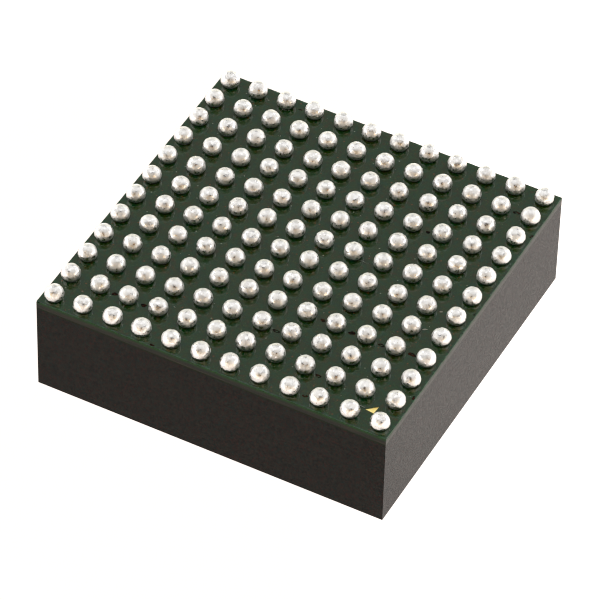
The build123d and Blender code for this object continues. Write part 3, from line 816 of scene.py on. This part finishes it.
def crumb(x, y, a, b, turn):
    """A small flattened grain that lies on the mask."""
    seg, rows = 14, 5
    t = np.linspace(0, math.pi / 2, rows + 1)[1:]
    ph = 2 * math.pi * np.arange(seg) / seg
    wob = Waves(crumb_rng, 2.4, 10)
    dirs = [np.array([[0.0, 0.0, 1.0]])]
    for ti in t:
        dirs.append(np.stack([math.sin(ti) * np.cos(ph), math.sin(ti) * np.sin(ph), np.full(seg, math.cos(ti))], 1))
    d = np.concatenate(dirs)
    r = 1 + 0.22 * wob(d)
    q = d * r[:, None] * np.array([a, b, min(a, b) * 0.6])
    c, sn = math.cos(turn), math.sin(turn)
    xy = np.stack([x + q[:, 0] * c - q[:, 1] * sn, y + q[:, 0] * sn + q[:, 1] * c], 1)
    z = z_mask + relief(xy[:, 0].copy(), xy[:, 1].copy()) + np.clip(q[:, 2], 0, None) - 0.0015
    tri = [(0, 1 + k, 1 + (k + 1) % seg) for k in range(seg)]
    for i in range(rows - 1):
        p0, p1 = 1 + i * seg, 1 + (i + 1) * seg
        for k in range(seg):
            k1 = (k + 1) % seg
            tri += [(p0 + k, p1 + k, p1 + k1), (p0 + k, p1 + k1, p0 + k1)]
    return np.column_stack([xy, z]), np.array(tri)


verts, tris, base = [], [], 0
for item in crumbs:
    v, t = crumb(*item)
    verts.append(v)
    tris.append(t + base)
    base += len(v)
grains = build("crumbs", np.concatenate(verts), tris=np.concatenate(tris))
grains.data.materials.append(mat_crumb)
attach(grains, "root")


def strand(points, r):
    """A thin round thread through the points."""
    pts = [Vector(q) for q in points]
    path = []
    for i in range(len(pts) - 1):
        p0, p1, p2, p3 = pts[max(i - 1, 0)], pts[i], pts[i + 1], pts[min(i + 2, len(pts) - 1)]
        for k in range(10):
            u = k / 10
            path.append(0.5 * (2 * p1 + (p2 - p0) * u + (2 * p0 - 5 * p1 + 4 * p2 - p3) * u * u
                               + (-p0 + 3 * p1 - 3 * p2 + p3) * u ** 3))
    path.append(pts[-1])
    seg = 8
    v, q = [], []
    for i, c in enumerate(path):
        d = (path[min(i + 1, len(path) - 1)] - path[max(i - 1, 0)]).normalized()
        n1 = d.cross(Vector((0, 0, 1))).normalized()
        n2 = n1.cross(d)
        rr = r * (0.25 if i in (0, len(path) - 1) else 1.0)
        for k in range(seg):
            a = 2 * math.pi * k / seg
            v.append(c + n1 * (rr * math.cos(a)) + n2 * (rr * math.sin(a)))
    for i in range(len(path) - 1):
        for k in range(seg):
            k1 = (k + 1) % seg
            q.append((i * seg + k, (i + 1) * seg + k, (i + 1) * seg + k1, i * seg + k1))
    return np.array([tuple(c) for c in v]), q


zt = z_mask + 0.008
threads = [
    ([(5.79, -6.445, zt), (5.90, -6.440, zt + 0.010), (6.00, -6.452, zt + 0.006), (6.07, -6.435, zt)], 0.0085),
    ([(2.20, 0.42, zt), (2.36, 0.50, zt + 0.008), (2.50, 0.46, zt), (2.62, 0.52, zt)], 0.0060),
    ([(-3.30, -1.90, zt), (-3.16, -1.97, zt + 0.008), (-3.06, -2.08, zt)], 0.0060),
]
verts, quads, base = [], [], 0
for points, r in threads:
    v, q = strand(points, r)
    verts.append(v)
    quads.append(np.array(q) + base)
    base += len(v)
lint = build("lint", np.concatenate(verts), np.concatenate(quads))
lint.data.materials.append(mat_lint)
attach(lint, "root")

# ------------------------------------------------------------------ camera
forward = Vector((-0.3232, 0.6368, -0.7001)).normalized()
az = math.radians(26.91)
side = Vector((math.cos(az), math.sin(az), 0.0))
up0 = side.cross(forward).normalized()
side = forward.cross(up0).normalized()
roll = math.radians(1.614)
right = math.cos(roll) * side + math.sin(roll) * up0
up = math.cos(roll) * up0 - math.sin(roll) * side
spot = Vector((0.06077, -0.11977, 0.13326)) - 0.0000243 * right + 0.0000206 * up
cam_data = bpy.data.cameras.new("camera")
cam_data.lens = 289.4
cam_data.sensor_width = 36.0
cam_data.clip_start, cam_data.clip_end = 0.01, 5.0
cam = bpy.data.objects.new("camera", cam_data)
bpy.context.scene.collection.objects.link(cam)
cam.matrix_world = Matrix((
    (right.x, up.x, -forward.x, spot.x),
    (right.y, up.y, -forward.y, spot.y),
    (right.z, up.z, -forward.z, spot.z),
    (0, 0, 0, 1),
))
bpy.context.scene.camera = cam

# ------------------------------------------------------------------ floor
# a hair under the part, so that the two faces never lie in one plane
drop = -0.015 * MM
floor_mesh = bpy.data.meshes.new("floor")
floor_mesh.from_pydata([(-0.5, -0.5, drop), (0.5, -0.5, drop), (0.5, 0.5, drop), (-0.5, 0.5, drop)], [], [(0, 1, 2, 3)])
floor = bpy.data.objects.new("floor", floor_mesh)
bpy.context.scene.collection.objects.link(floor)
fm = bpy.data.materials.new("white_floor")
fm.use_nodes = True
fn = Nodes(fm.node_tree)
fo = fn.add("ShaderNodeOutputMaterial")
fe = fn.add("ShaderNodeEmission")
fpos = fn.coords()
reach = fn.vmath("LENGTH", fpos)
far = fn.ramp(reach, 16.0, 70.0, 0.0, 1.7)
lit = fn.ramp(fn.vmath("DOT_PRODUCT", fpos, (1.0, 0.45, 0.0)), 0.5, 9.0, 0.0, 0.33)
fn.link(fn.math("ADD", fn.math("ADD", far, lit), 1.0), fe.inputs["Strength"])
fe.inputs["Color"].default_value = (1.15, 1.06, 1.0, 1)
fn.link(fe.outputs[0], fo.inputs["Surface"])
floor_mesh.materials.append(fm)

# ------------------------------------------------------------------ light
# A white tent all round. Its brightness changes with the height and with the angle from the
# camera's side: bright low panels at the sides and back, a dim warm opening at the front.
world = bpy.data.worlds.new("tent")
bpy.context.scene.world = world
world.use_nodes = True
wn = Nodes(world.node_tree)
wout = wn.add("ShaderNodeOutputWorld")
wbg = wn.add("ShaderNodeBackground")
wc = wn.add("ShaderNodeTexCoord")
direction = wn.vmath("NORMALIZE", wc.outputs["Generated"])
lens_dir = (0.3232, -0.6368, 0.7001)
parts = wn.add("ShaderNodeSeparateXYZ")
wn.link(direction, parts.inputs[0])
high = parts.outputs[2]
flat = wn.add("ShaderNodeCombineXYZ")
wn.link(parts.outputs[0], flat.inputs[0])
wn.link(parts.outputs[1], flat.inputs[1])
ahead = wn.vmath("DOT_PRODUCT", wn.vmath("NORMALIZE", flat.outputs[0]), (0.4526, -0.8917, 0.0))


def belt(front, quarter, flank, rear_flank, back):
    """Strength round the tent at one height, from the camera's side to the back."""
    x = wn.ramp(ahead, -0.93, -0.38, back, rear_flank)
    x = wn.math("ADD", x, wn.ramp(ahead, -0.38, 0.34, 0.0, flank - rear_flank))
    x = wn.math("ADD", x, wn.ramp(ahead, 0.34, 0.83, 0.0, quarter - flank))
    return wn.math("ADD", x, wn.ramp(ahead, 0.87, 0.975, 0.0, front - quarter))


def blend(fac, a, b):
    return wn.math("ADD", wn.math("MULTIPLY", fac, b), wn.math("MULTIPLY", wn.math("SUBTRACT", 1.0, fac), a))


level = [
    belt(0.90, 2.30, 4.30, 3.30, 1.60),
    belt(0.40, 1.50, 3.40, 2.50, 1.45),
    belt(0.80, 0.48, 0.58, 0.80, 0.55),
    belt(0.95, 0.40, 0.85, 1.10, 0.72),
]
amount = blend(wn.ramp(high, 0.026, 0.24), level[0], level[1])
amount = blend(wn.ramp(high, 0.30, 0.47), amount, level[2])
amount = blend(wn.ramp(high, 0.56, 0.72), amount, level[3])
amount = blend(wn.ramp(high, 0.84, 0.92), amount, wn.math("ADD", 1.49, 0.0))
# two upright strip lamps behind the tent, one each side of the back
strip = wn.math("MULTIPLY", wn.ramp(ahead, -0.84, -0.78), wn.ramp(ahead, -0.66, -0.58, 1.0, 0.0))
strip = wn.math("MULTIPLY", strip, wn.math("MULTIPLY", wn.ramp(high, 0.42, 0.50), wn.ramp(high, 0.72, 0.80, 1.0, 0.0)))
amount = wn.math("ADD", amount, wn.math("MULTIPLY", strip, 3.4))
near_lens = wn.ramp(wn.vmath("DOT_PRODUCT", direction, lens_dir), math.cos(math.radians(24)), math.cos(math.radians(17)))
amount = wn.math("MULTIPLY", amount, wn.math("SUBTRACT", 1.0, wn.math("MULTIPLY", near_lens, 0.95)))
warm = wn.math("MULTIPLY", wn.ramp(ahead, 0.40, 0.80), wn.ramp(high, 0.75, 0.50))
tone = wn.mix(warm, (1.0, 1.0, 1.0), (1.28, 1.0, 0.68))
rear = wn.math("MULTIPLY", wn.ramp(ahead, -0.55, -0.85), wn.ramp(high, 0.55, 0.35))
tone = wn.mix(rear, tone, (1.02, 1.0, 0.84))
lamp_dir = Vector((0.3232, -0.6368, 0.7001)) - 0.10 * up + 0.05 * right
lamp_dir.normalize()
lamp = wn.ramp(wn.vmath("DOT_PRODUCT", direction, tuple(lamp_dir)), math.cos(math.radians(5.0)), math.cos(math.radians(3.2)))
tone = wn.mix(lamp, tone, (1.0, 0.52, 0.20))
amount = wn.math("ADD", amount, wn.math("MULTIPLY", lamp, 2.2))
wn.link(tone, wbg.inputs["Color"])
wn.link(amount, wbg.inputs["Strength"])
wn.link(wbg.outputs[0], wout.inputs["Surface"])

scene = bpy.context.scene
scene.view_settings.view_transform = "Standard"
scene.view_settings.look = "None"
scene.view_settings.exposure = 0.0
scene.view_settings.gamma = 1.0
scene.cycles.filter_width = 1.1
